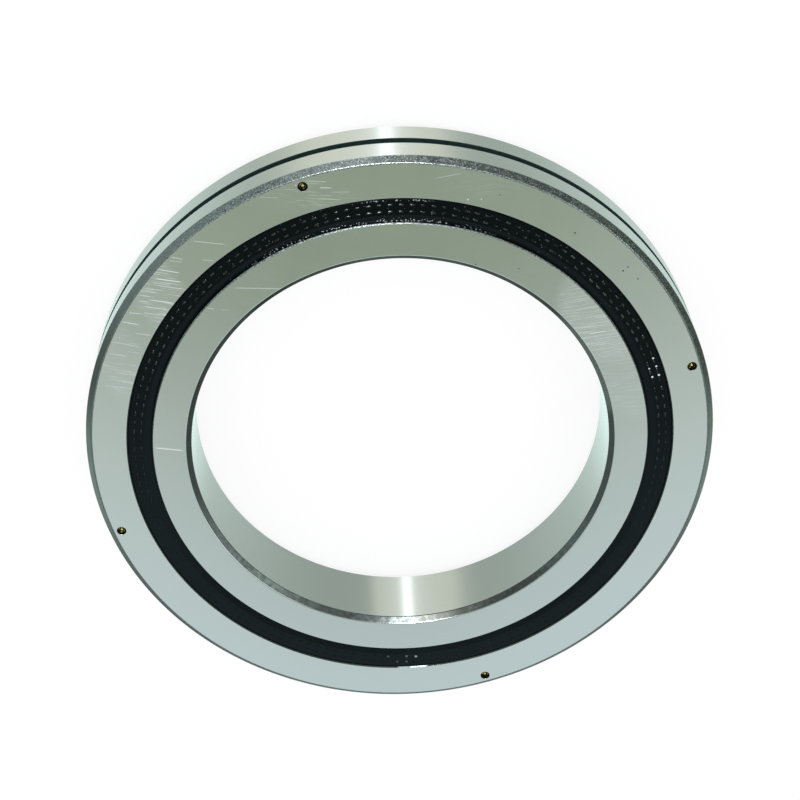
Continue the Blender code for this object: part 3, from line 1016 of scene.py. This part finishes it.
def rivet_outline(bare, oily):
    """A rivet's section from the dimple in its upper head to the one in its lower head."""
    head_radius = RIVET_HEAD_DIAMETER / 2
    shank_radius = RIVET_SHANK_DIAMETER / 2
    pip_top = rivet_top - PIP_DEPTH
    upper = [
        (0.0, pip_top, 0, bare),
        (0.7 * PIP_RADIUS, pip_top - PIP_CROWN, SMALL_ROUND, bare),
        (PIP_RADIUS, pip_top - 3 * PIP_CROWN, 0, oily),
        (PIP_RADIUS + PIP_VALLEY, rivet_top - RIVET_DIMPLE_DEPTH, 0.03 * MM, oily),
        (head_radius - RIVET_HEAD_RIM, rivet_top, 0.03 * MM, oily),
        (head_radius, rivet_top, 0.04 * MM, oily),
        (head_radius, rivet_head_bottom, 0.04 * MM, oily),
        (shank_radius, rivet_head_bottom, 0, oily),
    ]
    return rounded_outline(with_mirror(upper, bare), False)


def make_rivets():
    """The brass rivets, each with a punched dimple in both heads."""
    bare = bare_brass("rivet_bare_brass")
    oily = oily_brass("rivet_oily_brass")
    pattern = turn_section("rivet_pattern", rivet_outline(bare, oily), RIVET_COLUMNS,
                           False, [bare, oily])
    for number, angle in enumerate(rivet_angles(), 1):
        place = (at_middle_plane() @ round_the_axis(angle)
                 @ Matrix.Translation((rivet_circle_radius, 0.0, 0.0)))
        rivet = twin_at(pattern, f"staked_rivet_{number}", place)
        carry(rivet, "outer_ring", "rivet_brass", f"rivet_{number}")
    bpy.data.objects.remove(pattern)


def roller_place(index):
    """A roller's place: its axis tilts outwards and inwards by turns."""
    tilt = CONTACT_ANGLE if index % 2 == 0 else -CONTACT_ANGLE
    return (round_the_axis(2 * math.pi * index / roller_count)
            @ Matrix.Translation((PITCH_RADIUS, 0.0, 0.0))
            @ Matrix.Rotation(tilt, 4, "Y"))


def make_rollers():
    """The crossed rollers, with broken edges."""
    steel = polished_steel("roller_finish")
    radius = ROLLER_DIAMETER / 2
    end = ROLLER_LENGTH / 2
    upper = [
        (0.0, end, 0, steel),
        (radius - ROLLER_CHAMFER, end, SMALL_ROUND, steel),
        (radius, end - ROLLER_CHAMFER, SMALL_ROUND, steel),
    ]
    outline = rounded_outline(with_mirror(upper, steel), False)
    pattern = turn_section("roller_pattern", outline, ROLLER_COLUMNS, False, [steel])
    for index, node in enumerate(roller_nodes):
        roller = twin_at(pattern, f"lapped_{node}", at_middle_plane() @ roller_place(index))
        carry(roller, node, "roller_steel", node)
    bpy.data.objects.remove(pattern)


def make_cage():
    """The cage band with a crossed window for each roller."""
    nylon = cage_nylon("cage_finish")
    outer = PITCH_RADIUS + CAGE_THICKNESS / 2
    inner = PITCH_RADIUS - CAGE_THICKNESS / 2
    corners = [
        (outer, cage_half_height, EDGE_ROUND, nylon),
        (outer, -cage_half_height, EDGE_ROUND, nylon),
        (inner, -cage_half_height, EDGE_ROUND, nylon),
        (inner, cage_half_height, EDGE_ROUND, nylon),
    ]
    cage = turn_section("moulded_cage", rounded_outline(corners, True), CAGE_COLUMNS, True,
                        [nylon])
    outline = plug_outline(ROLLER_DIAMETER / 2 + CLEARANCE, ROLLER_LENGTH / 2 + CLEARANCE,
                           nylon)
    off_symmetry = round_the_axis(math.pi / WINDOW_COLUMNS)
    for first in (0, 1):
        tool = turn_section(f"window_tool_{first}", outline, WINDOW_COLUMNS, False, [nylon])
        cut_away(cage, tool, [roller_place(index) @ off_symmetry
                              for index in range(first, roller_count, 2)])
    cage.data.transform(at_middle_plane())
    carry(cage, "cage", "cage_polyamide", "roller_cage")


def make_camera():
    """The camera stands where the photograph was taken from."""
    data = bpy.data.cameras.new("camera")
    data.sensor_width = SENSOR_WIDTH
    data.lens = FOCAL_PIXELS * SENSOR_WIDTH / IMAGE_WIDTH
    data.clip_start = 0.01
    data.clip_end = 20.0
    camera = add_object("camera", data)
    view = (Matrix.Rotation(CAMERA_ROLL, 4, "Z") @ Matrix.Rotation(CAMERA_PAN, 4, "Y")
            @ Matrix.Rotation(CAMERA_TILT, 4, "X"))
    on_its_face = (Matrix.Translation((0.0, 0.0, 2 * half_width))
                   @ Matrix.Rotation(math.pi, 4, "Z"))
    camera.matrix_world = on_its_face @ view.transposed() @ Matrix.Translation(-CAMERA_OFFSET)
    bpy.context.scene.camera = camera


# The studio's colours. Its bearings and elevations are in degrees, and bearings run from the strip.
STRIP_AZIMUTH = math.radians(-85.5)
STRIP_HALF_ANGLE = 2.6
BACKDROP = (0.92, 1.06, 1.13)
HIGH_BACKDROP = (0.93, 0.99, 0.98)
CANOPY = (0.42, 0.49, 0.36)
CANOPY_DIP = 5.3
ZENITH = (0.80, 0.85, 0.83)
SIDES = (0.26, 0.31, 0.29)
HORIZON = (0.22, 0.29, 0.25)
HORIZON_GLOW = (0.56, 0.60, 0.58)
CREAM_CARD = (1.04, 1.06, 0.94)
CARD_GLOW = (1.26, 1.28, 1.24)
STRIP_WHITE = (1.52, 1.68, 1.76)
STRIP_CORE = (3.6, 3.6, 3.7)
LOW_SIDES = (0.57, 0.655, 0.60)
LOW_BACKDROP = (1.40, 1.67, 1.65)
LOW_EDGES = (1.95, 2.42, 2.28)

# Its soft cards: bearing and elevation, half sizes, softness and colour
LOW_CARDS = ((123, -9), (11, 8), 4, (1.00, 1.38, 1.20))
FRONT_CARD = ((2, 20), (38, 7), 5, (0.80, 0.86, 0.88))
RIGHT_CARD = ((58, 15), (32, 9), 5, (0.97, 1.21, 1.20))
LEFT_CARD = ((-75, 26), (27, 9), 2, (1.60, 1.85, 1.80))
LEFT_CARD_SLANT = 0.2

# The lamp and the floor
SOFTBOX_SIZE = (0.20, 0.12)
SOFTBOX_POWER = 4.2
SOFTBOX_COLOUR = (0.88, 0.95, 1.0)
SOFTBOX_AZIMUTH = math.radians(-80)
SOFTBOX_ELEVATION = math.radians(40)
SOFTBOX_DISTANCE = 0.85
FLOOR_REACH = 2.0
FLOOR_DROP = 0.05 * MM
FLOOR_GREY = (0.18, 0.18, 0.18, 1.0)
FLOOR_GLOW = 0.85
WHITE = (1.0, 1.0, 1.0)


def add_card(light, bearing, elevation, card):
    """Hang one soft rectangular card in the studio."""
    centre, half_sizes, softness, colour = card
    off_side = abs(bearing - centre[0])
    off_end = abs(elevation - centre[1])
    across, along = [1 - off.steps_up(half_size - softness, half_size + softness)
                     for off, half_size in zip((off_side, off_end), half_sizes)]
    return mix_colours(across * along, light, colour)


def studio_sky(off_strip, elevation):
    """The upper half: dark sides, a pale backdrop behind, a canopy and a ceiling."""
    backdrop = off_strip.steps_up(110, 150)
    high = elevation.steps_up(18, 38) * off_strip.steps_up(50, 95)
    pale = mix_colours(elevation.steps_up(53.5, 58.5), BACKDROP, HIGH_BACKDROP)
    sky = mix_colours(backdrop.at_least(high), SIDES, pale)
    dipped = elevation + off_strip.steps_up(168, 178) * CANOPY_DIP
    sky = mix_colours(dipped.steps_up(56.5, 65.5), sky, CANOPY)
    return mix_colours(elevation.steps_up(71, 80), sky, ZENITH)


def studio_ground(bearing, elevation, ahead, aside):
    """The lower half: a low backdrop, and in front a cream card with a bright strip in it."""
    off_strip = abs(bearing)
    off_front = abs(bearing + 5)
    shallow = elevation.steps_up(-64, -55)
    dim = shallow * 0.95 * (1 - off_front.steps_up(124, 158))
    far_side = off_front.steps_up(40, 150) * (1 - dim)
    ground = mix_colours(far_side, LOW_SIDES, LOW_BACKDROP)
    grazing = off_front.steps_up(120, 150) * (1 - shallow)
    ground = mix_colours(grazing, ground, LOW_EDGES)
    card = (aside.steps_up(-0.205, -0.175) * (1 - aside.steps_up(0.25, 0.34))
            * ahead.steps_up(0.0, 0.05))
    ground = mix_colours(card, ground, shaded(shallow, CREAM_CARD, 0.96, 1.17))
    glow = (1 - off_strip.steps_up(0.0, 16)) * card
    ground = mix_colours(glow, ground, shaded(shallow, CARD_GLOW, 0.97, 1.16))
    strip = 1 - off_strip.steps_up(0.75 * STRIP_HALF_ANGLE, 1.25 * STRIP_HALF_ANGLE)
    return mix_colours(strip, ground, mix_colours(shallow, STRIP_WHITE, STRIP_CORE))


def make_world():
    """Soft studio light: pale backdrop, darker canopy above, and a strip low in front.

    Metal sees the studio, the lens sees white, and all else gets an even white.
    """
    world = bpy.data.worlds.new("studio")
    world.use_nodes = True
    world.cycles.sampling_method = "NONE"
    bpy.context.scene.world = world
    tree = world.node_tree
    tree.nodes.clear()
    direction = add_node(tree, "ShaderNodeTexCoord", {}, {}, 0)
    ahead, aside, up = split(turned_by(direction, -STRIP_AZIMUTH))
    bearing = ahead.math("ARCTAN2", aside, ahead) * math.degrees(1.0)
    elevation = up.math("ARCSINE", up) * math.degrees(1.0)
    off_strip = abs(bearing)
    studio = mix_colours(up.steps_up(-0.03, 0.03),
                         studio_ground(bearing, elevation, ahead, aside),
                         studio_sky(off_strip, elevation))
    horizon = 1 - abs(elevation + 12).steps_up(20, 34)
    glow = (1 - elevation.steps_up(-24, -6)) * (1 - off_strip.steps_up(135, 155))
    studio = mix_colours(horizon, studio, mix_colours(glow, HORIZON, HORIZON_GLOW))
    studio = add_card(studio, off_strip, elevation, LOW_CARDS)
    studio = add_card(studio, bearing, elevation, FRONT_CARD)
    studio = add_card(studio, bearing, elevation, RIGHT_CARD)
    slanted = elevation - (bearing - LEFT_CARD[0][0]) * LEFT_CARD_SLANT
    studio = add_card(studio, bearing, slanted, LEFT_CARD)
    glossy = add_node(tree, "ShaderNodeLightPath", {}, {}, "Is Glossy Ray")
    background = add_node(tree, "ShaderNodeBackground", {},
                          {"Color": mix_colours(glossy, WHITE, studio), "Strength": 1.0})
    add_node(tree, "ShaderNodeOutputWorld", {}, {"Surface": background})


def make_lamp():
    """A softbox in front of the bearing, for the glints on edges, chamfers and nubs."""
    data = bpy.data.lights.new("softbox", "AREA")
    data.shape = "RECTANGLE"
    data.size, data.size_y = SOFTBOX_SIZE
    data.energy = SOFTBOX_POWER
    data.color = SOFTBOX_COLOUR
    lamp = add_object("softbox", data)
    level = math.cos(SOFTBOX_ELEVATION)
    away = Vector((math.cos(SOFTBOX_AZIMUTH) * level, math.sin(SOFTBOX_AZIMUTH) * level,
                   math.sin(SOFTBOX_ELEVATION)))
    lamp.location = away * SOFTBOX_DISTANCE
    lamp.rotation_euler = (-away).to_track_quat("-Z", "Y").to_euler()
    lamp.visible_diffuse = False


def make_floor():
    """A pale floor that keeps a faint shadow. Metal looks past it to the studio."""
    mesh = bpy.data.meshes.new("floor")
    shape = bmesh.new()
    bmesh.ops.create_grid(shape, x_segments=1, y_segments=1, size=FLOOR_REACH)
    shape.to_mesh(mesh)
    shape.free()
    floor = add_object("floor", mesh)
    floor.location.z = -FLOOR_DROP
    material = bpy.data.materials.new("pale_floor")
    material.use_nodes = True
    tree = material.node_tree
    tree.nodes.clear()
    diffuse = add_node(tree, "ShaderNodeBsdfDiffuse", {}, {"Color": FLOOR_GREY})
    glow = add_node(tree, "ShaderNodeEmission", {}, {"Color": (*WHITE, 1.0), "Strength": FLOOR_GLOW})
    lit = add_node(tree, "ShaderNodeAddShader", {}, {0: diffuse, 1: glow})
    clear = add_node(tree, "ShaderNodeBsdfTransparent", {}, {})
    glossy = add_node(tree, "ShaderNodeLightPath", {}, {}, "Is Glossy Ray")
    below = add_node(tree, "ShaderNodeNewGeometry", {}, {}, "Backfacing")
    surface = add_node(tree, "ShaderNodeMixShader", {},
                       {0: glossy.at_least(below), 1: lit, 2: clear})
    add_node(tree, "ShaderNodeOutputMaterial", {}, {"Surface": surface})
    mesh.materials.append(material)


make_camera()
make_inner_ring()
make_outer_ring()
make_seals()
make_rivets()
make_rollers()
make_cage()
make_world()
make_lamp()
make_floor()
bpy.context.scene.view_settings.view_transform = "Standard"
